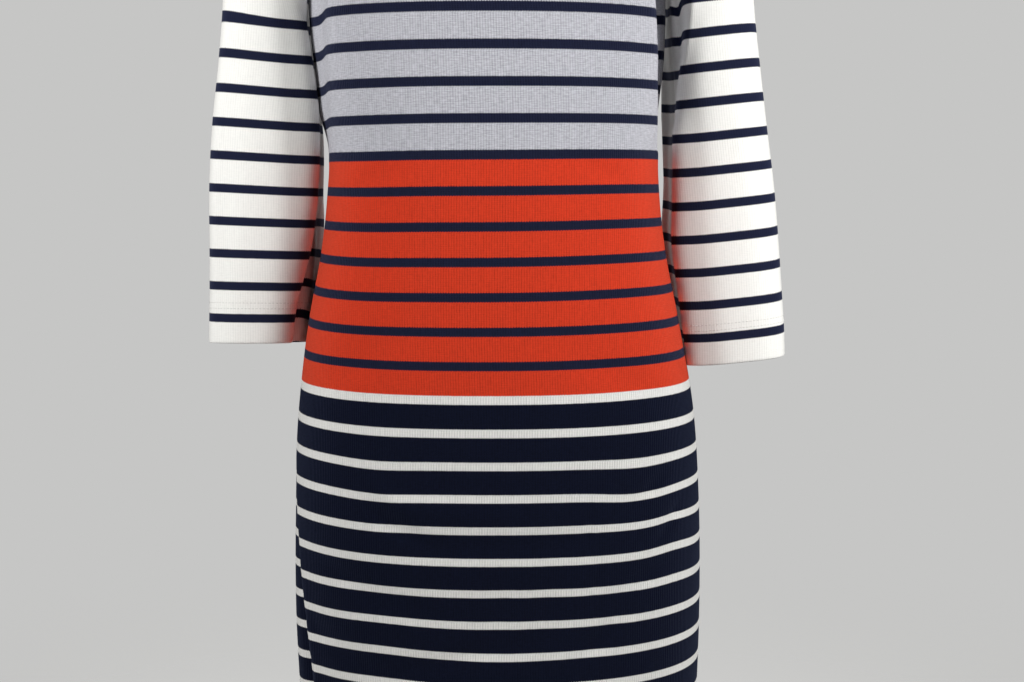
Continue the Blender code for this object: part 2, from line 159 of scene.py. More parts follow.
def add_object(name: str, data: bpy.types.ID) -> bpy.types.Object:
    """Put a mesh, curve, light or camera in the scene as an object."""
    made = bpy.data.objects.new(name, data)
    bpy.context.scene.collection.objects.link(made)
    return made


def unit(vectors: np.ndarray) -> np.ndarray:
    """Scale each vector to a length of one."""
    return vectors / np.maximum(np.linalg.norm(vectors, axis=-1, keepdims=True), 1e-12)


def signed_power(values: np.ndarray, exponent: float) -> np.ndarray:
    """Raise the size of each value to a power and keep its sign."""
    return np.sign(values) * np.abs(values) ** exponent


def arc_length(points: np.ndarray, axis: int) -> np.ndarray:
    """Length along the rows or columns of a grid of points, from its first one.

    Args:
        points: rows by columns by 3.
        axis: 0 measures along the columns of the array and 1 along its rows.

    Returns:
        Rows by columns of lengths.
    """
    steps = np.linalg.norm(np.diff(points, axis=axis), axis=-1)
    pad = [(0, 0), (0, 0)]
    pad[axis] = (1, 0)
    return np.pad(np.cumsum(steps, axis=axis), pad)


def grid_normals(points: np.ndarray) -> np.ndarray:
    """Unit normals of a grid of points, towards its rows' direction crossed with its columns'."""
    return unit(np.cross(np.gradient(points, axis=1), np.gradient(points, axis=0)))


def ease(s: Any, start: Any, end: Any, leave: Any, arrive: Any) -> np.ndarray:
    """Go from a start to an end on a cubic curve.

    Args:
        s: how far along, from 0 to 1.
        start: the value at 0.
        end: the value at 1.
        leave: the slope at 0.
        arrive: the slope at 1.

    Returns:
        The value at s.
    """
    first = start * (1 + 2 * s) * (1 - s) ** 2 + leave * s * (1 - s) ** 2
    return first + (end * s * s * (3 - 2 * s) - arrive * s * s * (1 - s))


class Profile:
    """A table of sizes by height, read on a smooth curve through its rows."""

    def __init__(self, columns: str, rows: Sequence[Sequence[float]]) -> None:
        """Keep the table.

        Args:
            columns: the names of the columns after the height.
            rows: each row's height and its values.
        """
        table = np.array(sorted(rows))
        self.knots = table[:, 0]
        self.values = dict(zip(columns.split(), table[:, 1:].T))

    def at(self, column: str, heights: np.ndarray | float) -> np.ndarray:
        """Read one column at the given heights.

        Args:
            column: the column's name.
            heights: where it is read. Past the table's ends it keeps the end's value.

        Returns:
            The values there.
        """
        values = self.values[column]
        slopes = np.gradient(values, self.knots)
        at = np.clip(np.asarray(heights, dtype=float), self.knots[0], self.knots[-1])
        index = np.clip(np.searchsorted(self.knots, at) - 1, 0, len(self.knots) - 2)
        span = self.knots[index + 1] - self.knots[index]
        return ease((at - self.knots[index]) / span, values[index], values[index + 1],
                    slopes[index] * span, slopes[index + 1] * span)


def count_stripes(first: float, repeats: Profile, heights: np.ndarray) -> np.ndarray:
    """Count the stripes down the cloth by the repeat that it has at each height as it hangs.

    Args:
        first: the height of stripe 0.
        repeats: the stripe repeat by height.
        heights: where the count is read.

    Returns:
        The count at each height, a whole number in the middle of a stripe.
    """
    down = np.arange(0.0, 1.0, COUNT_STEP)
    counts = np.cumsum(COUNT_STEP / repeats.at("repeat", -down))
    return np.interp(-np.asarray(heights), down, counts) - np.interp(-first, down, counts)


# ---------------------------------------- folds


@dataclass(frozen=True)
class Crease:
    """A long trough or ridge that runs down the cloth.

    knots are rows of height, angle in degrees and depth in metres (inwards is negative), from the top down.
    near is the half width on the side of smaller angles and far on the side of larger ones. lip is how far
    the cloth beside the trough swells outwards on its steeper side, slip how far the courses in it have
    slipped down, fade the length over which it dies away past its ends, and turn the angle by which the
    cloth's move leans from straight outwards towards larger angles.
    """

    knots: tuple[tuple[float, float, float], ...]
    near: float
    far: float
    lip: float = 0.0
    slip: float = 0.0
    fade: float = 0.02
    turn: float = 0.0

    def shape(self, angles: np.ndarray, heights: np.ndarray, radius: np.ndarray | float
              ) -> tuple[np.ndarray, np.ndarray, np.ndarray]:
        """Work out the crease at each point of a tube.

        Args:
            angles: angles round the tube, in degrees.
            heights: heights of the same points.
            radius: the tube's radius there.

        Returns:
            How far the cloth moves outwards and towards larger angles, and how far its courses have slipped.
        """
        table = np.array(self.knots)[::-1]
        line = np.interp(heights, table[:, 0], table[:, 1])
        depth = np.interp(heights, table[:, 0], table[:, 2])
        beyond = np.maximum(table[0, 0] - heights, 0) + np.maximum(heights - table[-1, 0], 0)
        away = np.radians((angles - line + 180) % 360 - 180) * radius
        width = np.where(away < 0, self.near, self.far)
        ends = np.exp(-(beyond / self.fade) ** 2)
        trough = np.exp(-(away / width) ** 2) * ends
        steep = -1 if self.near < self.far else 1
        narrow, wide = sorted((self.near, self.far))
        lip = np.exp(-((away - steep * LIP_AWAY * narrow) / (LIP_WIDTH * narrow)) ** 2) * ends
        share = np.abs(depth) / np.abs(table[:, 2]).max()
        push = depth * trough + self.lip * lip * share
        power = np.clip(steep * away / (SLIP_START * narrow), -LARGEST_POWER, LARGEST_POWER)
        within = 1 / (1 + np.exp(power))
        far_side = np.exp(-(np.maximum(-steep * away, 0) / (SLIP_REACH * wide)) ** 2)
        lean = math.radians(self.turn)
        return push * math.cos(lean), push * math.sin(lean), self.slip * within * far_side * ends * share


@dataclass(frozen=True)
class Pull:
    """A short soft hollow or swell of the cloth, such as a drag line, as a long oval.

    length and width are the oval's half sizes, turn is how far its length leans from upright towards larger
    angles, in degrees, and depth is outwards if positive.
    """

    angle: float
    height: float
    length: float
    width: float
    turn: float
    depth: float

    def shape(self, angles: np.ndarray, heights: np.ndarray, radius: np.ndarray | float) -> np.ndarray:
        """Work out how far the cloth moves outwards at each point of a tube.

        Args:
            angles: angles round the tube, in degrees.
            heights: heights of the same points.
            radius: the tube's radius there.

        Returns:
            The move outwards.
        """
        away = np.radians((angles - self.angle + 180) % 360 - 180) * radius
        up = heights - self.height
        lean = math.radians(self.turn)
        along = up * math.cos(lean) + away * math.sin(lean)
        across = away * math.cos(lean) - up * math.sin(lean)
        return self.depth * np.exp(-(along / self.length) ** 2 - (across / self.width) ** 2)


@dataclass(frozen=True)
class Drift:
    """A place where the courses of the cloth sit lower or higher than level.

    x and height are its middle, half_x and half_height its reach and drop how far the courses sit down.
    """

    x: float
    height: float
    half_x: float
    half_height: float
    drop: float

    def shape(self, x: np.ndarray, heights: np.ndarray) -> np.ndarray:
        """Work out the drop of the courses at each point."""
        return self.drop * np.exp(-((x - self.x) / self.half_x) ** 2
                                  - ((heights - self.height) / self.half_height) ** 2)


@dataclass(frozen=True)
class Folds:
    """All the folds of one piece and the drifts of its courses."""

    creases: tuple[Crease, ...]
    pulls: tuple[Pull, ...] = ()
    drifts: tuple[Drift, ...] = ()

    def shape(self, angles: np.ndarray, x: np.ndarray, heights: np.ndarray, radius: np.ndarray | float
              ) -> np.ndarray:
        """Add up the folds at each point of a tube.

        Args:
            angles: angles round the tube, in degrees.
            x: the points' places along X.
            heights: their heights.
            radius: the tube's radius there.

        Returns:
            How far the cloth moves outwards, how far towards larger angles, and how far its courses sit low.
        """
        total = np.zeros((3, *heights.shape))
        for crease in self.creases:
            total += crease.shape(angles, heights, radius)
        for pull in self.pulls:
            total[0] += pull.shape(angles, heights, radius)
        for drift in self.drifts:
            total[2] += drift.shape(x, heights)
        return total


# ---------------------------------------- cloth


@dataclass
class Cloth:
    """A patch of cloth: rows of points on its outer face, with its own flat coordinates.

    across and along are the flat coordinates in metres: across the wales, and up the cloth in units of which
    STRIPE_REPEAT is one stripe repeat. normals point outwards.
    """

    points: np.ndarray
    across: np.ndarray
    along: np.ndarray
    normals: np.ndarray = field(init=False)

    def __post_init__(self) -> None:
        """Work out the outward normals."""
        normals = grid_normals(self.points)
        middle = self.points.mean(axis=1, keepdims=True)
        if (normals * (self.points - middle))[..., :2].sum() < 0:
            normals = -normals
        self.normals = normals

    def dip_into_seams(self, from_top: np.ndarray) -> None:
        """Dip the cloth into the seams along its two sides and its last row.

        Args:
            from_top: how far each point is from the last row.
        """
        edge = np.minimum(arc_length(self.points, 1), arc_length(self.points[:, ::-1], 1)[:, ::-1])
        dip = SEAM_DIP * np.exp(-(np.minimum(edge, from_top) / SEAM_REACH) ** 2)
        self.points = self.points - self.normals * dip[..., None]

    def stitch_lines(self) -> list[np.ndarray]:
        """Find the two lines of a twin-needle seam, on the cloth before its first row is turned up."""
        climbed = arc_length(self.points, 0)
        raised = self.points + self.normals * THREAD_LIFT
        lines = []
        for height in (HEM_ALLOWANCE - STITCH_INSET, HEM_ALLOWANCE - STITCH_INSET - TWIN_NEEDLE):
            line = [[np.interp(height, climbed[:, at], raised[:, at, axis]) for axis in range(3)]
                    for at in range(1, raised.shape[1] - 1)]
            lines.append(np.array(line))
        return lines

    def turn_up(self) -> None:
        """Turn the cloth in and up at its first row, as a hem."""
        radius = HEM_RADIUS
        up = self.points[1] - self.points[0]
        length = np.linalg.norm(up, axis=-1, keepdims=True)
        down = -up / length
        normal = self.normals[0]
        edge = self.points[0] - down * radius
        stretch = (self.along[1] - self.along[0]) / length[..., 0]
        points, normals, along = [], [], []
        for turn in np.linspace(0, math.pi, HEM_TURN_ROWS):
            points.append(edge + down * radius * math.sin(turn) - normal * radius * (1 - math.cos(turn)))
            normals.append(normal * math.cos(turn) + down * math.sin(turn))
            along.append(self.along[0] + stretch * radius * (1 - turn))

        # The rows next to the turn stay a little clear of it, inside and outside
        climbed = arc_length(self.points, 0).mean(axis=1)
        for row in np.flatnonzero((climbed > 1.5 * radius) & (climbed < HEM_ALLOWANCE)):
            points.append(self.points[row] - self.normals[row] * 2 * radius)
            normals.append(-self.normals[row])
            along.append(2 * self.along[0] - self.along[row] - stretch * radius)
        keep = climbed > 1.2 * radius
        self.points = np.concatenate([np.array(points)[::-1], self.points[keep]])
        self.normals = np.concatenate([np.array(normals)[::-1], self.normals[keep]])
        self.along = np.concatenate([np.array(along)[::-1], self.along[keep]])
        across = np.repeat(self.across[:1], len(points), axis=0)
        self.across = np.concatenate([across, self.across[keep]])

    def shell(self, name: str, material: bpy.types.Material) -> bpy.types.Object:
        """Make the cloth a thin closed shell, inwards from its outer face.

        Args:
            name: the object's name.
            material: its one material.

        Returns:
            The new object.
        """
        rows, columns = self.points.shape[:2]
        inner = (self.points - self.normals * THICKNESS).reshape(-1, 3)
        points = np.concatenate([self.points.reshape(-1, 3), inner])
        flat = np.stack([self.across, self.along], axis=-1).reshape(-1, 2)
        flat = np.concatenate([flat, flat])
        index = np.arange(rows * columns).reshape(rows, columns)
        quads = np.stack([index[:-1, :-1], index[:-1, 1:], index[1:, 1:], index[1:, :-1]], axis=-1)
        quads = quads.reshape(-1, 4)
        under = quads[:, ::-1] + rows * columns
        edges = np.concatenate([index[0, :], index[1:, -1], index[-1, -2::-1], index[-2:0:-1, 0]])
        after = np.roll(edges, -1)
        rims = np.stack([edges, edges + rows * columns, after + rows * columns, after], axis=-1)
        faces = np.concatenate([quads, under, rims])
        corner = points[quads[:, 1]] - points[quads[:, 0]]
        way = np.cross(corner, points[quads[:, 3]] - points[quads[:, 0]])
        if (way * self.normals.reshape(-1, 3)[quads[:, 0]]).sum() < 0:
            faces = faces[:, ::-1]
        mesh = bpy.data.meshes.new(name)
        mesh.from_pydata(points.tolist(), [], faces.tolist())
        layer = mesh.uv_layers.new(name=UV_NAME)
        layer.data.foreach_set("uv", flat[faces.reshape(-1)].astype(np.float32).ravel())
        mesh.materials.append(material)
        mesh.shade_smooth()
        mesh.set_sharp_from_angle(angle=SHARP_ANGLE)
        return add_object(name, mesh)


# ---------------------------------------- finishes


@dataclass(frozen=True)
class Jersey:
    """Knitted cotton jersey, in stripes that are knitted in with dyed yarn.

    Cotton jersey is soft and matt: the short fibres on it catch light at grazing angles, its wales stand up
    as fine upright ribs, with shade painted into the colour of the valleys between, and a stripe's edge steps
    from stitch to stitch.
    """

    name: str
    ground: str                       # colour between the stripes
    stripe: str = "1a1e34"            # navy yarn
    stripe_width: float = 0.27        # share of the repeat
    marl: bool = False                # lighter and darker fibres are spun together
    marl_dark: str = "a9a9b0"
    striped: bool = True
    wale: float = 0.0022              # real wales are 1.65 mm apart, drawn wider so that they show
    course: float = 0.0016            # rows of stitches, drawn taller than real ones for the same reason
    jag: float = 0.0007               # step of a stripe's edge from stitch to stitch
    valley_shade: float = 0.21              # painted shade: how much darker the valleys between the wales are drawn
    relief: float = 0.50              # strength of the wales' relief
    relief_height: float = 0.0006
    row_shade: float = 0.2           # painted shade in the valleys between the rows, beside that between the wales
    row_relief: float = 0.25          # relief of the rows, beside that of the wales
    fleck_relief: float = 0.5         # relief of the fibre flecks, beside that of the wales
    wander: float = 0.0006            # how far the flecks move a stripe's edge
    fade: float = 0.010               # share of the repeat over which that edge fades, each way
    sharpness: float = 1.5            # how quickly the painted shade deepens from a wale into its valleys
    fuzz: float = 0.45                # gamma that makes the sheen paler than the yarn
    # Noise by metre of cloth and its lowest and highest value: fibre flecks, and tight and loose stitches
    fleck_scale: tuple[float, float, float] = (170.0, 1000.0, 1.0)
    fleck_range: tuple[float, float] = (0.34, 0.66)
    tension_scale: tuple[float, float, float] = (480.0, 75.0, 1.0)
    tension_range: tuple[float, float] = (0.35, 0.68)
    tension: tuple[float, float] = (0.6, 1.4)    # strength of the valleys' painted shade at either

    def ground_colour(self, tree: bpy.types.NodeTree, flecks: bpy.types.NodeSocket) -> bpy.types.NodeSocket:
        """Give the colour between the stripes, a little uneven from stitch to stitch."""
        dark = linear(self.marl_dark) if self.marl else darker(self.ground, 0.95)
        return mix_colours(tree, flecks, dark, linear(self.ground))

    def stripe_mask(self, tree: bpy.types.NodeTree, distance: bpy.types.NodeSocket) -> bpy.types.NodeSocket:
        """Give 1 in a stripe and 0 beside it, by the distance from its middle as a share of the repeat."""
        half = self.stripe_width / 2
        return add_node(tree, "ShaderNodeMapRange", {0: distance, 1: half + self.fade, 2: half - self.fade}
                        ).outputs[0]

    def material(self) -> bpy.types.Material:
        """Make the material."""
        made, tree, shader = add_material(self.name)
        shader.inputs["Roughness"].default_value = 0.9
        shader.inputs["Specular IOR Level"].default_value = 0.06
        shader.inputs["Sheen Weight"].default_value = 0.75
        shader.inputs["Sheen Roughness"].default_value = 0.45

        def math_node(operation: str, *values: Any) -> bpy.types.NodeSocket:
            """Add one step of arithmetic and give its result."""
            return add_node(tree, "ShaderNodeMath", dict(enumerate(values)), operation=operation).outputs[0]

        # Flat coordinates on the cloth, in metres
        flat = add_node(tree, "ShaderNodeUVMap", uv_map=UV_NAME).outputs[0]
        split = add_node(tree, "ShaderNodeSeparateXYZ", {0: flat})
        across, along = split.outputs[0], split.outputs[1]

        # Wales: crest is 0 in the valleys and 1 on the ribs
        crest = math_node("DIVIDE", math_node("PINGPONG", across, self.wale / 2), self.wale / 2)
        row = math_node("DIVIDE", math_node("PINGPONG", along, self.course / 2), self.course / 2)

        # Fibre flecks: longer along the yarn, which runs across the cloth
        stretched = add_node(tree, "ShaderNodeMapping", {0: flat, "Scale": self.fleck_scale}).outputs[0]
        fine = add_node(tree, "ShaderNodeTexNoise", {"Vector": stretched, "Scale": 1.0, "Detail": 2.0,
                                                      "Roughness": 0.6}).outputs[0]
        flecks = add_node(tree, "ShaderNodeMapRange", dict(enumerate((fine, *self.fleck_range)))).outputs[0]

        # Stripes, counted down the cloth
        wander = math_node("MULTIPLY", math_node("SUBTRACT", fine, 0.5), self.wander)
        step = math_node("MULTIPLY", math_node("SUBTRACT", crest, 0.5), self.jag)
        shifted = math_node("ADD", math_node("ADD", along, step), wander)
        repeats = math_node("DIVIDE", shifted, -STRIPE_REPEAT)
        colour = self.colour(tree, math_node, repeats, flecks)

        # Painted shade: the valleys between the wales and the rows are darkened in the base colour
        spread = add_node(tree, "ShaderNodeMapping", {0: flat, "Scale": self.tension_scale}).outputs[0]
        loose = add_node(tree, "ShaderNodeTexNoise", {"Vector": spread, "Scale": 1.0, "Detail": 2.0})
        uneven = add_node(tree, "ShaderNodeMapRange", dict(enumerate(
            (loose.outputs[0], *self.tension_range, *self.tension))))
        deep = math_node("MULTIPLY", uneven.outputs[0], self.valley_shade)
        slope = math_node("POWER", math_node("SUBTRACT", 1.0, crest), self.sharpness)
        painted_valley_shade = math_node("MULTIPLY", slope, deep)
        dip = math_node("MULTIPLY", math_node("SUBTRACT", 1.0, row), self.valley_shade * self.row_shade)
        shade = math_node("SUBTRACT", 1.0, math_node("ADD", painted_valley_shade, dip))
        shaded = mix_colours(tree, 1.0, colour, shade, blend="MULTIPLY")
        tree.links.new(shaded, shader.inputs["Base Color"])
        pale = add_node(tree, "ShaderNodeGamma", {"Color": colour, "Gamma": self.fuzz}).outputs[0]
        tree.links.new(pale, shader.inputs["Sheen Tint"])

        # Relief: round wales, shallow rows and fibre fuzz
        relief = math_node("SINE", math_node("MULTIPLY", crest, math.pi / 2))
        relief = math_node("ADD", relief, math_node("MULTIPLY", row, self.row_relief))
        relief = math_node("ADD", relief, math_node("MULTIPLY", fine, self.fleck_relief))
        bump = add_node(tree, "ShaderNodeBump", {"Strength": self.relief, "Distance": self.relief_height,
                                                 "Height": relief})
        tree.links.new(bump.outputs[0], shader.inputs["Normal"])
        return made

    def colour(self, tree: bpy.types.NodeTree, math_node: Any, repeats: bpy.types.NodeSocket,
               flecks: bpy.types.NodeSocket) -> bpy.types.NodeSocket:
        """Give the cloth's colour with its stripes.

        Args:
            tree: the material's nodes.
            math_node: adds one step of arithmetic.
            repeats: the count of stripe repeats, growing down the cloth. A stripe is on each whole number.
            flecks: noise of fibre flecks from 0 to 1.

        Returns:
            The colour.
        """
        ground = self.ground_colour(tree, flecks)
        if not self.striped:
            return ground
        inside = self.stripe_mask(tree, math_node("PINGPONG", repeats, 0.5))
        return mix_colours(tree, inside, ground, linear(self.stripe))


@dataclass(frozen=True)
class BlockJersey(Jersey):
    """The body's jersey, knitted in three blocks: grey marl, then orange, then navy with white stripes."""

    orange: str = "d63c22"
    navy: str = "0c1124"
    white: str = "ecebe7"
    orange_from: float = 0.0          # stripe repeat at which the orange block starts
    navy_from: float = 7.0            # stripe repeat at which the navy block starts
    last_repeat: float = 14.0
    narrowing: tuple[float, float] = (0.004, 0.014)   # of the first and last white stripe, on each edge

    def colour(self, tree: bpy.types.NodeTree, math_node: Any, repeats: bpy.types.NodeSocket,
               flecks: bpy.types.NodeSocket) -> bpy.types.NodeSocket:
        """Give the cloth's colour with its blocks and stripes, from what Jersey.colour takes."""
        def uneven(colour: str, share: float) -> bpy.types.NodeSocket:
            """Give one dyed yarn's colour, down to a share of its light in some stitches."""
            return mix_colours(tree, flecks, darker(colour, share), linear(colour))

        ground = self.ground_colour(tree, flecks)
        for start, colour, share in ((self.orange_from, self.orange, 0.86),
                                     (self.navy_from, self.navy, 0.75)):
            below = math_node("GREATER_THAN", repeats, start)
            ground = mix_colours(tree, below, ground, uneven(colour, share))
        first_white = self.navy_from - 0.5
        low = math_node("GREATER_THAN", repeats, first_white)
        stripe = mix_colours(tree, low, uneven(self.stripe, 0.80), uneven(self.white, 0.93))

        # The white stripes are a little narrower, the more so further down
        narrowing = add_node(tree, "ShaderNodeMapRange", {
            0: repeats, 1: first_white, 2: self.last_repeat, 3: self.narrowing[0], 4: self.narrowing[1]})
        inset = math_node("MULTIPLY", low, narrowing.outputs[0])
        inside = self.stripe_mask(tree, math_node("ADD", math_node("PINGPONG", repeats, 0.5), inset))
        return mix_colours(tree, inside, ground, stripe)


@dataclass(frozen=True)
class Thread:
    """Spun polyester sewing thread: a fine twisted line with a dull shine."""

    name: str
    dyed: str

    def material(self) -> bpy.types.Material:
        """Make the material."""
        made, tree, shader = add_material(self.name)
        shader.inputs["Roughness"].default_value = 0.55
        place = add_node(tree, "ShaderNodeTexCoord").outputs["Object"]
        twist = add_node(tree, "ShaderNodeTexNoise", {"Vector": place, "Scale": 2500.0, "Detail": 1.0})
        ply = twist.outputs[0]
        mixed = mix_colours(tree, ply, darker(self.dyed, 0.7), linear(self.dyed))
        tree.links.new(mixed, shader.inputs["Base Color"])
        bump = add_node(tree, "ShaderNodeBump", {"Strength": 0.4, "Distance": 0.0002, "Height": ply})
        tree.links.new(bump.outputs[0], shader.inputs["Normal"])
        return made


@dataclass(frozen=True)
class Stitching:
    """A row of sewing stitches along a line on the cloth, made by Geometry Nodes."""

    pitch: float = 0.0032
    length: float = 0.0024
    width: float = 0.00055

    def tree(self) -> bpy.types.NodeTree:
        """Build the node tree that lays one stitch at each step of a curve.

        Returns:
            The tree, with its inputs named for the stitch's sizes and its material.
        """
        tree = bpy.data.node_groups.new("stitch_row", "GeometryNodeTree")
        for name, kind in (("Geometry", "NodeSocketGeometry"), ("Stitch pitch", "NodeSocketFloat"),
                           ("Stitch length", "NodeSocketFloat"), ("Thread width", "NodeSocketFloat"),
                           ("Thread", "NodeSocketMaterial")):
            tree.interface.new_socket(name, in_out="INPUT", socket_type=kind)
        tree.interface.new_socket("Geometry", in_out="OUTPUT", socket_type="NodeSocketGeometry")
        given = add_node(tree, "NodeGroupInput").outputs
        steps = add_node(tree, "GeometryNodeResampleCurve", {"Curve": given["Geometry"],
                                                             "Length": given["Stitch pitch"]}, mode="LENGTH")
        tangent = add_node(tree, "GeometryNodeInputTangent").outputs[0]
        turned = add_node(tree, "FunctionNodeAlignRotationToVector", {"Vector": tangent}, axis="X")
        bead = add_node(tree, "GeometryNodeMeshUVSphere", {"Segments": 6, "Rings": 4, "Radius": 0.5})
        size = add_node(tree, "ShaderNodeCombineXYZ", {0: given["Stitch length"], 1: given["Thread width"],
                                                       2: given["Thread width"]}).outputs[0]
        laid = add_node(tree, "GeometryNodeInstanceOnPoints", {
            "Points": steps.outputs[0], "Instance": bead.outputs[0], "Rotation": turned.outputs[0],
            "Scale": size})
        real = add_node(tree, "GeometryNodeRealizeInstances", {0: laid.outputs[0]})
        dressed = add_node(tree, "GeometryNodeSetMaterial", {"Geometry": real.outputs[0],
                                                             "Material": given["Thread"]})
        add_node(tree, "NodeGroupOutput", {0: dressed.outputs[0]})
        return tree

    def sew(self, name: str, lines: Sequence[np.ndarray], thread: bpy.types.Material) -> bpy.types.Object:
        """Lay stitches along lines.

        Args:
            name: the object's name.
            lines: points of each line.
            thread: the stitches' material.

        Returns:
            One mesh object with every stitch.
        """
        curve = bpy.data.curves.new(name + "_line", "CURVE")
        curve.dimensions = "3D"
        for line in lines:
            spline = curve.splines.new("POLY")
            spline.points.add(len(line) - 1)
            spline.points.foreach_set("co", np.pad(line, ((0, 0), (0, 1)), constant_values=1).ravel())
        path = add_object(name + "_line", curve)
        tree = self.tree()
        modifier = path.modifiers.new("stitches", "NODES")
        modifier.node_group = tree
        values = {"Stitch pitch": self.pitch, "Stitch length": self.length, "Thread width": self.width,
                  "Thread": thread}
        for socket in tree.interface.items_tree:
            if socket.in_out == "INPUT" and socket.name in values:
                modifier[socket.identifier] = values[socket.name]
        depsgraph = bpy.context.evaluated_depsgraph_get()
        mesh = bpy.data.meshes.new_from_object(path.evaluated_get(depsgraph))
        mesh.name = name
        mesh.shade_smooth()
        bpy.data.objects.remove(path)
        return add_object(name, mesh)


# ---------------------------------------- pieces


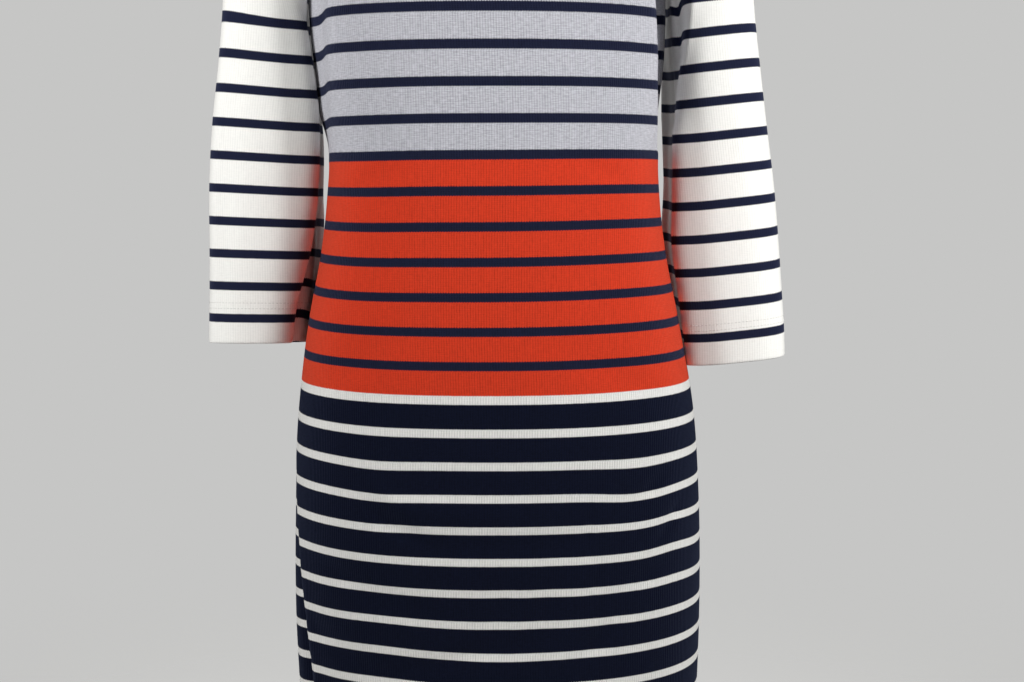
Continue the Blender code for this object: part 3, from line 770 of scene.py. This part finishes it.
@dataclass
class Body:
    """Front and back panels: one length from the shoulders to the hem, with their folds and hem."""

    neck_half_width: float = 0.090
    neck_drop: dict[Side, float] = field(default_factory=lambda: {Side.FRONT: 0.085, Side.BACK: 0.022})
    neckline_roundness: float = 2.2
    shoulder_tip: float = 0.183
    shoulder_drop: float = 0.040
    shoulder_curve: float = 1.3
    underarm: float = -0.222
    hem: float = -0.920
    squareness: float = 2.3
    roll_start: dict[Side, float] = field(default_factory=lambda: {Side.FRONT: 2.4, Side.BACK: 3.0})
    roll_end: float = 1.6
    rows: int = 214                   # below the underarm
    yoke_rows: int = 52
    neck_columns: int = 26
    side_columns: int = 50
    neck_crowding: float = 1.3
    side_crowding: float = 1.5
    upper_repeat: float = 0.0303      # stripe repeat above the underarm

    # Level sections: height, sideways lean, half width, depth forward and depth back
    sections: Profile = field(default_factory=lambda: Profile("lean width front back", [
        (-0.920, 0.0110, 0.1810, 0.1160, 0.1040), (-0.860, 0.0108, 0.1832, 0.1180, 0.1070),
        (-0.780, 0.0100, 0.1853, 0.1215, 0.1120), (-0.680, 0.0095, 0.1835, 0.1280, 0.1190),
        (-0.600, 0.0092, 0.1775, 0.1310, 0.1170), (-0.520, 0.0072, 0.1650, 0.1290, 0.1080),
        (-0.460, 0.0070, 0.1530, 0.1255, 0.0980), (-0.420, 0.0070, 0.1480, 0.1230, 0.0920),
        (-0.380, 0.0070, 0.1465, 0.1195, 0.0890), (-0.340, 0.0065, 0.1515, 0.1160, 0.0900),
        (-0.300, 0.0050, 0.1565, 0.1120, 0.0930), (-0.260, 0.0035, 0.1585, 0.1085, 0.0960),
        (-0.222, 0.0020, 0.1590, 0.1045, 0.0980), (-0.200, 0.0016, 0.1612, 0.1030, 0.0985),
        (-0.160, 0.0012, 0.1640, 0.1000, 0.0985), (-0.120, 0.0008, 0.1680, 0.0965, 0.0970),
        (-0.080, 0.0004, 0.1780, 0.0925, 0.0945), (-0.040, 0.0000, 0.2050, 0.0880, 0.0910),
        (0.000, 0.0000, 0.2300, 0.0820, 0.0870)]))
    armhole: Profile = field(default_factory=lambda: Profile("reach", [
        (-0.222, 0.1590), (-0.200, 0.1555), (-0.160, 0.1515), (-0.120, 0.1510), (-0.080, 0.1570),
        (-0.040, 0.183)]))

    # The stripe repeat as the cloth hangs, longer above the waist where it is drawn up to the shoulders
    waist_stripe: float = -0.3785
    repeats: Profile = field(default_factory=lambda: Profile("repeat", [
        (-0.900, 0.0279), (-0.700, 0.0273), (-0.550, 0.0279), (-0.400, 0.0292), (-0.250, 0.0305)]))

    # Angles are 0 at the centre front, 90 at the side at +X and 180 at the centre back
    folds: Folds = Folds(
        creases=(
            # Folds under the arms, which run down to the waist
            Crease(((-0.215, -66, -0.0075), (-0.270, -68, -0.0070), (-0.330, -73, -0.0050),
                    (-0.360, -77, -0.0030), (-0.382, -82, -0.0010)), 0.0280, 0.0240, lip=0.0008, slip=0.0050),
            Crease(((-0.215, 65, -0.0460), (-0.265, 67.5, -0.0460), (-0.310, 70, -0.0400),
                    (-0.345, 74.5, -0.0200), (-0.376, 80, -0.0010)), 0.0080, 0.0340, lip=0.0014, turn=-55),
            Crease(((-0.228, -106, -0.0080), (-0.340, -101, -0.0030)), 0.0100, 0.0100),
            Crease(((-0.228, 104, -0.0070), (-0.340, 101, -0.0030)), 0.0100, 0.0100),
            # The deep fold down the skirt's left side, and those at the back
            Crease(((-0.645, -80, -0.0005), (-0.683, -77, -0.0030), (-0.718, -73.5, -0.0080),
                    (-0.774, -69, -0.0150), (-0.827, -65, -0.0190), (-0.930, -61, -0.0220)),
                   0.0260, 0.0075, lip=0.0020, turn=20),
            Crease(((-0.620, -142, -0.0020), (-0.930, -136, -0.0090)), 0.0170, 0.0170),
            Crease(((-0.620, -121, 0.0010), (-0.930, -117, 0.0040)), 0.0200, 0.0200),
            Crease(((-0.600, 139, -0.0020), (-0.930, 146, -0.0080)), 0.0180, 0.0180),
            Crease(((-0.660, 176, -0.0010), (-0.930, 172, -0.0050)), 0.0220, 0.0220)),
        pulls=tuple(Pull(*row) for row in (
            # Angle, height, half length, half width, turn and depth
            (-88, -0.337, 0.020, 0.030, 0, 0.0034), (-38, -0.545, 0.050, 0.016, 62, -0.0012),
            (34, -0.560, 0.060, 0.016, -60, -0.0012), (-21.5, -0.690, 0.024, 0.008, -62, -0.0024),
            (-27.5, -0.658, 0.020, 0.006, -50, 0.0012), (-12, -0.672, 0.045, 0.010, -84, 0.0012),
            (22, -0.690, 0.022, 0.0035, 6, -0.0010), (24, -0.735, 0.020, 0.0035, 10, -0.0009),
            (1.1, -0.755, 0.032, 0.006, 8, -0.0012), (11.2, -0.745, 0.040, 0.011, 14, -0.0014),
            (26.8, -0.781, 0.026, 0.008, 40, -0.0018), (42.5, -0.660, 0.024, 0.007, 55, -0.0016),
            (52.5, -0.690, 0.022, 0.007, 48, -0.0016), (-38, -0.740, 0.060, 0.012, -70, -0.0016),
            (-8, -0.800, 0.050, 0.010, 70, -0.0016), (6, -0.700, 0.050, 0.010, 86, -0.0014),
            (-45, -0.800, 0.050, 0.012, -66, -0.0014), (36, -0.740, 0.040, 0.010, 62, -0.0012),
            (-20, -0.860, 0.050, 0.012, -72, -0.0014), (30, -0.850, 0.050, 0.012, 74, -0.0014),
            (-42, -0.400, 0.030, 0.008, 70, -0.0010), (40, -0.395, 0.032, 0.008, -72, -0.0010),
            (48, -0.300, 0.040, 0.010, 35, -0.0014), (-44, -0.285, 0.040, 0.009, -30, -0.0012),
            # At the back
            (-150, -0.430, 0.045, 0.013, 78, -0.0030), (150, -0.415, 0.045, 0.013, -80, -0.0030),
            (172, -0.390, 0.060, 0.012, 88, -0.0026), (-160, -0.365, 0.045, 0.012, 74, -0.0020),
            (158, -0.350, 0.045, 0.012, -74, -0.0022))),
        drifts=(
            # The courses tilt at the waist, up on the right and down on the left
            Drift(0.140, -0.450, 0.090, 0.110, -0.0020), Drift(-0.110, -0.440, 0.050, 0.110, 0.0012),
            # They sag above the kink at each hip and are drawn up below it
            Drift(0.130, -0.658, 0.035, 0.025, 0.0040), Drift(-0.090, -0.650, 0.035, 0.035, 0.0020),
            Drift(0.165, -0.710, 0.020, 0.040, -0.0025), Drift(-0.090, -0.790, 0.040, 0.040, -0.0020),
            # They sag in the middle of the skirt
            Drift(0.010, -0.820, 0.045, 0.040, 0.0020)))

    def shoulder_line(self, x: np.ndarray) -> np.ndarray:
        """Height of the shoulder seam at a distance x from the centre."""
        seam = self.shoulder_tip - self.neck_half_width
        along = np.clip((np.abs(x) - self.neck_half_width) / seam, 0, None)
        return -self.shoulder_drop * along ** self.shoulder_curve

    def neckline(self, x: np.ndarray, side: Side) -> np.ndarray:
        """Height of the neck seam at a distance x from the centre."""
        across = np.clip(np.abs(x) / self.neck_half_width, 0, 1)
        return -self.neck_drop[side] * np.sqrt(1 - across ** self.neckline_roundness)

    def half_angles(self, torso: np.ndarray, reach: np.ndarray) -> np.ndarray:
        """Angles round the torso's section of each point of a half row, from the centre to the edge.

        Args:
            torso: half width of the whole torso at each row.
            reach: distance of the panel's edge from the centre at each row.

        Returns:
            Rows by columns of angles.
        """
        turn = 1 - (1 - np.linspace(0, 1, self.neck_columns + 1)) ** self.neck_crowding
        inner = self.neck_half_width * np.sin(turn * math.pi / 2)
        inner_angles = np.arcsin((inner[None, :] / torso[:, None]) ** (self.squareness / 2))
        edge = np.arcsin(np.clip(reach / torso, 0, 1) ** (self.squareness / 2))[:, None]
        outer = 1 - (1 - np.linspace(0, 1, self.side_columns + 1)[1:]) ** self.side_crowding
        outer_angles = inner_angles[:, -1:] + (edge - inner_angles[:, -1:]) * outer[None, :]
        return np.concatenate([inner_angles, outer_angles], axis=1)

    def panel(self, side: Side) -> Cloth:
        """Shape one panel of the body, with its folds.

        Args:
            side: which panel.

        Returns:
            The panel's cloth, in rows from the hem up.
        """
        facing = side.value
        heights = np.linspace(self.hem, self.underarm, self.rows, endpoint=False)
        yoke = (1 - np.cos(np.linspace(0, math.pi, self.yoke_rows + 1))) / 2
        levels = np.concatenate([heights, self.underarm + (-self.shoulder_drop - self.underarm) * yoke])
        torso = self.sections.at("width", levels)
        reach = np.where(levels > self.underarm, self.armhole.at("reach", levels), torso)
        half = self.half_angles(torso, reach)
        round_ = np.concatenate([-half[:, :0:-1], half], axis=1)
        x = torso[:, None] * signed_power(np.sin(round_), 2 / self.squareness)
        rise = np.concatenate([np.zeros(self.rows), yoke])[:, None]
        inside = np.abs(x[-1]) < self.neck_half_width - 1e-6
        top = np.where(inside, self.neckline(x[-1], side), self.shoulder_line(x[-1]))
        z = np.where(rise > 0, self.underarm + (top[None, :] - self.underarm) * rise, levels[:, None])

        # The torso's section, rolled over towards the shoulder seam
        width = np.maximum(self.sections.at("width", z), np.abs(x))
        depth = self.sections.at(side.name.lower(), z)
        section = (1 - (np.abs(x) / width) ** self.squareness) ** (1 / self.squareness)
        climb = np.clip((z - self.underarm) / (self.shoulder_line(x) - self.underarm), 0, 1)
        roll = (1 - climb ** self.roll_start[side]) ** (1 / self.roll_end)
        y = facing * depth * section * roll

        # Folds push the cloth out or in, square to its level section, and leave its flat coordinates alone
        smooth = np.stack([x, y, z], axis=-1)
        slope_x = signed_power(x / width, self.squareness - 1) / width
        slope_y = facing * section ** (self.squareness - 1) / depth
        length = np.hypot(slope_x, slope_y)
        angles = np.degrees(np.arctan2(signed_power(x / width, self.squareness / 2),
                                       -facing * section ** (self.squareness / 2)))
        lean = self.sections.at("lean", z)
        push, shift, slip = self.folds.shape(angles, x + lean, z, (width + depth) / 2)
        x = x + (push * slope_x - shift * slope_y) / length + lean
        y = y + (push * slope_y + shift * slope_x) / length + facing * SEAM_GAP / 2
        points = np.stack([x, y, z], axis=-1)

        # Flat coordinates: wales from the middle of the row, courses level below the underarm
        across = arc_length(smooth, 1)
        across = across - across[:, across.shape[1] // 2, None]
        climbed = arc_length(smooth, 0)
        stripes = count_stripes(self.waist_stripe, self.repeats, np.minimum(z + slip, self.underarm))
        above = (climbed - climbed[self.rows]) / self.upper_repeat
        stripes = np.where(rise > 0, stripes[self.rows] - above, stripes)
        cloth = Cloth(points, across, -stripes * STRIPE_REPEAT)
        cloth.dip_into_seams(arc_length(points[::-1], 0)[::-1])
        return cloth

    def armhole_loop(self, arm: Arm, front: Cloth, back: Cloth) -> np.ndarray:
        """Armhole seam of one side, from the underarm up the back and down the front.

        Args:
            arm: which side.
            front: the front panel.
            back: the back panel.

        Returns:
            The seam's points.
        """
        column = -1 if arm is Arm.RIGHT else 0
        up = back.points[-self.yoke_rows - 1:, column]
        down = front.points[-self.yoke_rows - 1:, column][::-1]
        tip = (up[-1] + down[0]) / 2
        under = (up[0] + down[-1]) / 2
        return np.concatenate([[under], up[1:-1], [tip], down[1:-1], [under]])


@dataclass
class Sleeve:
    """A three-quarter sleeve set into its armhole, with a turned cuff."""

    arm: Arm
    sections: Profile
    centre_y: tuple[float, float]     # how far back its middle hangs, below the cap and at the cuff
    first_stripe: float               # height of the first stripe below the cap
    repeats: Profile                  # stripe repeat as the sleeve hangs
    folds: Folds
    cap_fullness: float = 0.75        # how far the cap bulges, in chord lengths
    leave_shoulder: tuple[float, float] = (0.88, -0.42)   # outward and up, where the cap leaves the seam
    leave_underarm: tuple[float, float] = (0.43, -0.90)
    settle: float = 0.025             # length below the cap that gives its direction there
    hold_rows: int = 6                # rows next to the seam over which the folds grow
    cap_rows: int = 30
    tube_rows: int = 104
    squareness: float = 3.1
    upper_repeat: float = 0.0295      # stripe repeat on the cap

    def ring(self, heights: np.ndarray, round_: np.ndarray) -> np.ndarray:
        """Shape rings of the tube below the cap.

        Args:
            heights: the rings' heights, as a column.
            round_: angles round the sleeve, 0 at its outer side and a quarter turn at the front.

        Returns:
            Rows by columns of points.
        """
        beyond = self.sections.at("width", heights) * signed_power(np.cos(round_), 2 / self.squareness)
        deep = self.sections.at("depth", heights) * signed_power(np.sin(round_), 2 / self.squareness)
        knots = self.sections.knots
        x = self.arm.value * (self.sections.at("reach", heights) + beyond)
        y = np.interp(heights, (knots[0], knots[-1]), self.centre_y[::-1]) - deep
        z = heights + self.sections.at("tilt", heights) * beyond + self.sections.at("front", heights) * deep
        return np.stack([x, y, z], axis=-1)

    def cloth(self, seam: np.ndarray) -> Cloth:
        """Shape the sleeve with its folds.

        Args:
            seam: the armhole seam's points, from the underarm up the back and down the front.

        Returns:
            The sleeve's cloth, in rows from the cuff up.
        """
        sign = self.arm.value
        seam = seam + np.array([sign * SEAM_GAP, 0, 0])
        round_ = np.linspace(-math.pi, math.pi, len(seam))
        low, high = self.sections.knots[0], self.sections.knots[-1]
        heights = np.linspace(high, low, self.tube_rows + 1)[:, None]
        tube = self.ring(heights, round_)

        # The cap leaves the seam outwards at the shoulder and mostly downwards at the underarm
        under = np.sin(round_ / 2) ** 2
        outward, up = [at_tip * (1 - under) + at_arm * under
                       for at_tip, at_arm in zip(self.leave_shoulder, self.leave_underarm)]
        leave = unit(np.stack([sign * outward, np.zeros_like(under), up], axis=-1))
        arrive = unit(self.ring(np.array([[high - self.settle]]), round_)[0] - tube[0])
        chord = np.linalg.norm(tube[0] - seam, axis=-1, keepdims=True) * self.cap_fullness
        cap = [ease(s, seam, tube[0], leave * chord, arrive * chord)
               for s in np.linspace(0, 1, self.cap_rows + 1)[:-1]]
        smooth = np.concatenate([np.array(cap), tube])

        # Folds push the cloth out or in, square to the sleeve, and leave the seam where it is
        angles = np.broadcast_to(np.degrees(round_), smooth.shape[:2])
        push, shift, slip = self.folds.shape(angles, smooth[..., 0], smooth[..., 2],
                                             self.sections.at("depth", high))
        hold = np.clip(np.arange(len(smooth)) / self.hold_rows, 0, 1)[:, None]
        outwards = np.stack([sign * np.cos(round_), -np.sin(round_), np.zeros_like(round_)], axis=-1)
        onwards = np.stack([-sign * np.sin(round_), -np.cos(round_), np.zeros_like(round_)], axis=-1)
        points = smooth + (push * hold)[..., None] * outwards + (shift * hold)[..., None] * onwards

        # Flat coordinates: wales from the outer side, courses by ring and by length above the rings
        across = arc_length(points, 1)
        across = across - across[:, len(seam) // 2, None]
        numbers = count_stripes(self.first_stripe, self.repeats, heights + slip[self.cap_rows:])
        climbed = arc_length(smooth, 0)
        top = (climbed[self.cap_rows] - climbed[:self.cap_rows] + slip[:self.cap_rows]) / self.upper_repeat
        numbers = np.concatenate([numbers[0] - top, numbers])
        cloth = Cloth(points[::-1], across[::-1], -numbers[::-1] * STRIPE_REPEAT)
        cloth.dip_into_seams(climbed[::-1])
        return cloth


@dataclass
class Neckband:
    """A narrow band, folded double, sewn round the neck opening."""

    width: float = 0.016
    lift: float = 0.5                 # how far the band turns up from the panels' own slope
    ease: float = 0.030               # length over which it turns past a shoulder seam
    fold_radius: float = 0.0014
    swell: float = 0.0006             # how far the folded band puffs out
    outer_rows: int = 9
    fold_rows: int = 8
    inner_rows: int = 7

    def cloth(self, body: Body, front: Cloth, back: Cloth) -> Cloth:
        """Shape the band.

        Args:
            body: the sizes of the panels.
            front: the front panel.
            back: the back panel.

        Returns:
            The band's cloth, in rows from the seam over the fold and down inside.
        """
        middle = front.points.shape[1] // 2
        span = slice(middle - body.neck_columns, middle + body.neck_columns + 1)
        loops = []
        for kind in ("points", "normals"):
            ahead = getattr(front, kind)[-1, span]
            behind = getattr(back, kind)[-1, span][::-1]
            first, last = (ahead[0] + behind[-1]) / 2, (ahead[-1] + behind[0]) / 2
            loop = np.concatenate([[first], ahead[1:-1], [last], behind[1:-1]])
            start = len(ahead) + len(behind) // 2 - 1
            loop = np.roll(loop, -start, axis=0)
            loops.append(np.concatenate([loop, loop[:1]]))
        seam, facing = loops
        ahead_of = np.concatenate([seam[1:], seam[1:2]])
        before = np.concatenate([seam[-2:-1], seam[:-1]])
        along = unit(ahead_of - before)
        rise = unit(np.cross(facing, along)) + np.array([0, 0, self.lift])

        # Both directions turn gently past the shoulder seams, where the panels meet at an angle
        run = np.append(0, np.cumsum(np.linalg.norm(np.diff(seam, axis=0), axis=-1)))
        apart = np.abs(run[:, None] - run[None, :])
        weights = np.exp(-(np.minimum(apart, run[-1] - apart) / self.ease) ** 2)
        along, rise = unit(weights @ along), weights @ rise
        rise = unit(rise - along * (rise * along).sum(axis=-1, keepdims=True))
        out = np.cross(along, rise)
        radius = self.fold_radius
        fold = self.width - radius
        rows, normals = [], []
        for step in np.linspace(SEAM_GAP, fold, self.outer_rows):
            puff = self.swell * math.sin(math.pi * step / self.width)
            rows.append(seam + rise * step + out * puff)
            normals.append(out)
        centre = seam + rise * fold - out * radius
        for turn in np.linspace(0, math.pi, self.fold_rows)[1:-1]:
            rows.append(centre + rise * radius * math.sin(turn) + out * radius * math.cos(turn))
            normals.append(out * math.cos(turn) + rise * math.sin(turn))
        for step in np.linspace(fold, SEAM_GAP, self.inner_rows):
            rows.append(seam + rise * step - out * 2 * radius)
            normals.append(-out)
        points = np.array(rows)
        cloth = Cloth(points, arc_length(points, 1), arc_length(points, 0))
        cloth.normals = np.array(normals)
        return cloth


# ---------------------------------------- dress


@dataclass
class Dress:
    """The whole dress, from its cloth to its stitches."""

    body: Body = field(default_factory=Body)
    neckband: Neckband = field(default_factory=Neckband)
    stitching: Stitching = field(default_factory=Stitching)
    sleeves: tuple[Sleeve, ...] = field(default_factory=lambda: (
        Sleeve(
            Arm.LEFT,
            Profile("reach width depth tilt front", [
                (-0.2650, 0.1944, 0.0374, 0.0510, 0.084, -0.02),
                (-0.3000, 0.1942, 0.0412, 0.0515, 0.080, -0.02),
                (-0.3550, 0.1948, 0.0473, 0.0520, 0.068, -0.01),
                (-0.4100, 0.1970, 0.0487, 0.0515, 0.050, 0.01),
                (-0.4600, 0.1992, 0.0472, 0.0505, 0.030, 0.03),
                (-0.5000, 0.2021, 0.0451, 0.0490, 0.015, 0.045),
                (-0.5441, 0.2061, 0.0426, 0.0475, 0.004, 0.06)]),
            centre_y=(0.0115, 0.0050),
            first_stripe=-0.2630,
            repeats=Profile("repeat", [(-0.540, 0.0284), (-0.360, 0.0287), (-0.250, 0.0297)]),
            folds=Folds((
                Crease(((-0.250, 162, -0.0030), (-0.320, 172, -0.0020)), 0.010, 0.010),
                # The trough at the inner side above the cuff, the ridge beside it and the inner front corner
                Crease(((-0.420, 178, -0.0010), (-0.480, 157, -0.0080), (-0.505, 152, -0.0095),
                        (-0.545, 151, -0.0070)), 0.0075, 0.0085, slip=-0.0050),
                Crease(((-0.440, 205, 0.0030), (-0.500, 190, 0.0060), (-0.545, 182, 0.0072)), 0.010, 0.010,
                       turn=-30),
                Crease(((-0.235, 140, 0.0080), (-0.330, 141, 0.0110), (-0.420, 142, 0.0080),
                        (-0.480, 143, 0.0020)), 0.016, 0.012, turn=40),
                Crease(((-0.300, 74, -0.0008), (-0.420, 66, -0.0012), (-0.500, 60, -0.0008)), 0.010, 0.010),
                Crease(((-0.240, 222, -0.0060), (-0.330, 205, -0.0020)), 0.011, 0.011),
                Crease(((-0.380, 255, -0.0020), (-0.520, 236, -0.0045)), 0.012, 0.012)),
                drifts=(Drift(-0.240, -0.250, 0.040, 0.060, -0.0025),))),
        Sleeve(
            Arm.RIGHT,
            Profile("reach width depth tilt front", [
                (-0.2650, 0.2012, 0.0382, 0.0490, 0.107, -0.02),
                (-0.3000, 0.2043, 0.0393, 0.0490, 0.107, -0.02),
                (-0.3550, 0.2088, 0.0418, 0.0490, 0.107, -0.02),
                (-0.4100, 0.2130, 0.0450, 0.0490, 0.107, -0.02),
                (-0.4500, 0.2152, 0.0468, 0.0485, 0.107, -0.02),
                (-0.5000, 0.2205, 0.0455, 0.0480, 0.107, -0.01),
                (-0.5370, 0.2243, 0.0445, 0.0475, 0.107, 0.005),
                (-0.5595, 0.2261, 0.0436, 0.0470, 0.107, 0.02)]),
            centre_y=(0.0195, 0.0090),
            first_stripe=-0.2695,
            repeats=Profile("repeat", [(-0.560, 0.0294), (-0.460, 0.0291), (-0.360, 0.0296),
                                       (-0.250, 0.0299)]),
            folds=Folds((
                # The trough below the armhole, then the ridges of the inner back and inner front corners
                Crease(((-0.225, 122, -0.0120), (-0.255, 131, -0.0140), (-0.280, 140, -0.0120),
                        (-0.345, 172, -0.0030)), 0.006, 0.026, lip=0.0020, slip=0.0040, turn=-35),
                Crease(((-0.250, 226, 0.0080), (-0.340, 228, 0.0130), (-0.400, 228, 0.0120),
                        (-0.450, 228, 0.0150), (-0.500, 226, 0.0150), (-0.570, 224, 0.0080)),
                       0.018, 0.018, turn=-45),
                Crease(((-0.330, 140, 0.0020), (-0.360, 140, 0.0090), (-0.450, 140, 0.0110),
                        (-0.565, 140, 0.0100)), 0.014, 0.012, turn=40),
                Crease(((-0.390, 270, -0.0020), (-0.530, 262, -0.0045)), 0.012, 0.012))))))

    def finish_piece(self, piece: bpy.types.Object, slot: str, *nodes: str) -> None:
        """Tie a piece to the dress and report it.

        Args:
            piece: the piece.
            slot: the record's material slot; not used.
            nodes: the solids that it stands for.
        """
        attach(piece, "root")
        if nodes:
            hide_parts(*nodes)
        log.info("%s: %d faces", piece.name, len(piece.data.polygons))

    def hem_piece(self, cloth: Cloth, name: str, edge: str, slot: str, jersey: bpy.types.Material,
                  thread: bpy.types.Material) -> tuple[bpy.types.Object, bpy.types.Object]:
        """Turn a cut piece's lower edge up and stitch it.

        Args:
            cloth: the piece's cloth.
            name: the solid that it stands for.
            edge: the stitches' name.
            slot: the record's material slot.
            jersey: the cloth's material.
            thread: the stitches' material.

        Returns:
            The piece and its stitches.
        """
        lines = cloth.stitch_lines()
        cloth.turn_up()
        piece = cloth.shell(f"dress_{name}", jersey)
        stitches = self.stitching.sew(edge, lines, thread)
        self.finish_piece(piece, slot, name)
        self.finish_piece(stitches, slot)
        return piece, stitches

    def build(self) -> None:
        """Make every piece and dress it."""
        block = BlockJersey("block_striped_cotton_jersey", ground="c4c4cb", marl=True).material()
        # The white jersey gets less painted shade in its valleys and a lower relief
        white = Jersey("white_striped_cotton_jersey", ground="f8f7f2", valley_shade=0.08, relief=0.16).material()
        marl = Jersey("grey_marl_cotton_jersey", ground="c4c4cb", marl=True, striped=False).material()
        navy_thread = Thread("navy_polyester_thread", "2a2e40").material()
        white_thread = Thread("white_polyester_thread", "e6e5e0").material()

        body = self.body
        front, back = body.panel(Side.FRONT), body.panel(Side.BACK)
        loops = {arm: body.armhole_loop(arm, front, back) for arm in Arm}
        band = self.neckband.cloth(body, front, back)
        for name, cloth in (("front", front), ("back", back)):
            piece, stitches = self.hem_piece(cloth, name, f"hem_stitches_{name}", "body_jersey", block,
                                             navy_thread)
        for sleeve in self.sleeves:
            name = sleeve.arm.name.lower()
            piece, stitches = self.hem_piece(sleeve.cloth(loops[sleeve.arm]), f"sleeve_{name}",
                                             f"cuff_stitches_{name}", "sleeve_jersey", white, white_thread)
        piece = band.shell("dress_neckband", marl)
        self.finish_piece(piece, "neckband_jersey", "neckband")


# ---------------------------------------- studio


@dataclass(frozen=True)
class Softbox:
    """A large soft studio light that looks at a point."""

    name: str
    place: tuple[float, float, float]
    target: tuple[float, float, float]
    size: tuple[float, float]
    power: float

    def make(self) -> None:
        """Add the light."""
        data = bpy.data.lights.new(self.name, "AREA")
        data.shape = "RECTANGLE"
        data.size, data.size_y = self.size
        data.energy = self.power
        light = add_object(self.name, data)
        light.location = self.place
        away = np.array(self.place) - np.array(self.target)
        flat = math.hypot(away[0], away[1])
        light.rotation_euler = (math.atan2(flat, away[2]), 0.0, math.atan2(away[0], -away[1]))
        light.visible_camera = False


@dataclass
class Studio:
    """A pale floor that fades into the pale air, a soft light on each side, one behind, and the camera."""

    floor_height: float = -1.33
    floor_radius: float = 4.5
    floor_sides: int = 96
    floor_solid: float = 0.5          # radius within which the floor is at its most solid
    floor_faded: float = 2.3          # radius at which it has faded into the air
    floor_cover: float = 0.75         # how solid it is there
    floor_colour: str = "e6e5e2"
    air_colour: str = "c6c6c5"        # what the camera sees of it
    air_glow: str = "f4f6fa"          # what the dress is lit by
    air_light: float = 0.04
    camera_place: tuple[float, float, float] = (0.0235, -1.28, -0.40)
    camera_pitch: float = 6.4         # degrees below level
    lens: float = 50.0                # millimetres
    sensor: float = 36.0
    boxes: tuple[Softbox, ...] = (
        Softbox("softbox_right", (1.15, -0.69, 0.22), (0.05, 0.0, -0.35), (0.5, 0.8), 25.8),
        Softbox("softbox_left", (-1.09, -0.77, 0.22), (-0.05, 0.0, -0.35), (0.5, 0.8), 20.6),
        Softbox("softbox_behind", (0.0, 2.2, 1.5), (0.0, 1.2, -1.33), (3.0, 1.6), 55.0),
    )

    def floor(self) -> None:
        """Lay the floor, a round matt painted board whose far parts fade into the air."""
        mesh = bpy.data.meshes.new("studio_floor")
        rim = [(self.floor_radius * math.cos(turn), self.floor_radius * math.sin(turn), self.floor_height)
               for turn in np.linspace(0, 2 * math.pi, self.floor_sides, endpoint=False)]
        mesh.from_pydata(rim, [], [tuple(range(len(rim)))])
        material, tree, shader = add_material("matt_painted_floor")
        place = add_node(tree, "ShaderNodeTexCoord").outputs["Object"]
        flat = add_node(tree, "ShaderNodeVectorMath", {0: place, 1: (1.0, 1.0, 0.0)}, operation="MULTIPLY")
        away = add_node(tree, "ShaderNodeVectorMath", {0: flat.outputs[0]}, operation="LENGTH")
        solid = add_node(tree, "ShaderNodeMapRange", {
            0: away.outputs["Value"], 1: self.floor_solid, 2: self.floor_faded, 3: self.floor_cover, 4: 0.0},
            interpolation_type="SMOOTHSTEP")
        cloud = add_node(tree, "ShaderNodeTexNoise", {"Vector": place, "Scale": 2.0, "Detail": 3.0})
        colour = mix_colours(tree, cloud.outputs[0], darker(self.floor_colour, 0.97),
                             linear(self.floor_colour))
        tree.links.new(colour, shader.inputs["Base Color"])
        tree.links.new(solid.outputs[0], shader.inputs["Alpha"])
        shader.inputs["Roughness"].default_value = 0.9
        shader.inputs["Specular IOR Level"].default_value = 0.1
        mesh.materials.append(material)
        add_object("studio_floor", mesh)

    def air(self) -> None:
        """Light the room evenly, and show a pale wall behind everything."""
        world = bpy.data.worlds.new("studio_air")
        world.use_nodes = True
        tree = world.node_tree
        tree.nodes.clear()
        seen = add_node(tree, "ShaderNodeLightPath").outputs["Is Camera Ray"]
        wall = add_node(tree, "ShaderNodeBackground", {"Color": linear(self.air_colour), "Strength": 1.0})
        glow = add_node(tree, "ShaderNodeBackground", {"Color": linear(self.air_glow),
                                                       "Strength": self.air_light})
        mixed = add_node(tree, "ShaderNodeMixShader", {0: seen, 1: glow.outputs[0], 2: wall.outputs[0]})
        add_node(tree, "ShaderNodeOutputWorld", {0: mixed.outputs[0]})
        bpy.context.scene.world = world

    def camera(self) -> None:
        """Place the camera level across and a little above the waist, looking down by its pitch."""
        data = bpy.data.cameras.new("camera")
        data.lens = self.lens
        data.sensor_width = self.sensor
        data.clip_start = 0.05
        made = add_object("camera", data)
        made.location = self.camera_place
        made.rotation_euler = (math.radians(90 - self.camera_pitch), 0.0, 0.0)
        bpy.context.scene.camera = made

    def build(self) -> None:
        """Set up the whole studio."""
        bpy.context.scene.view_settings.view_transform = "Standard"
        self.camera()
        self.floor()
        self.air()
        for box in self.boxes:
            box.make()


def main() -> None:
    """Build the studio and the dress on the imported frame."""
    logging.basicConfig(level=logging.INFO, format="%(name)s: %(message)s")
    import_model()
    Studio().build()
    Dress().build()


if __name__ == "__main__":
    main()
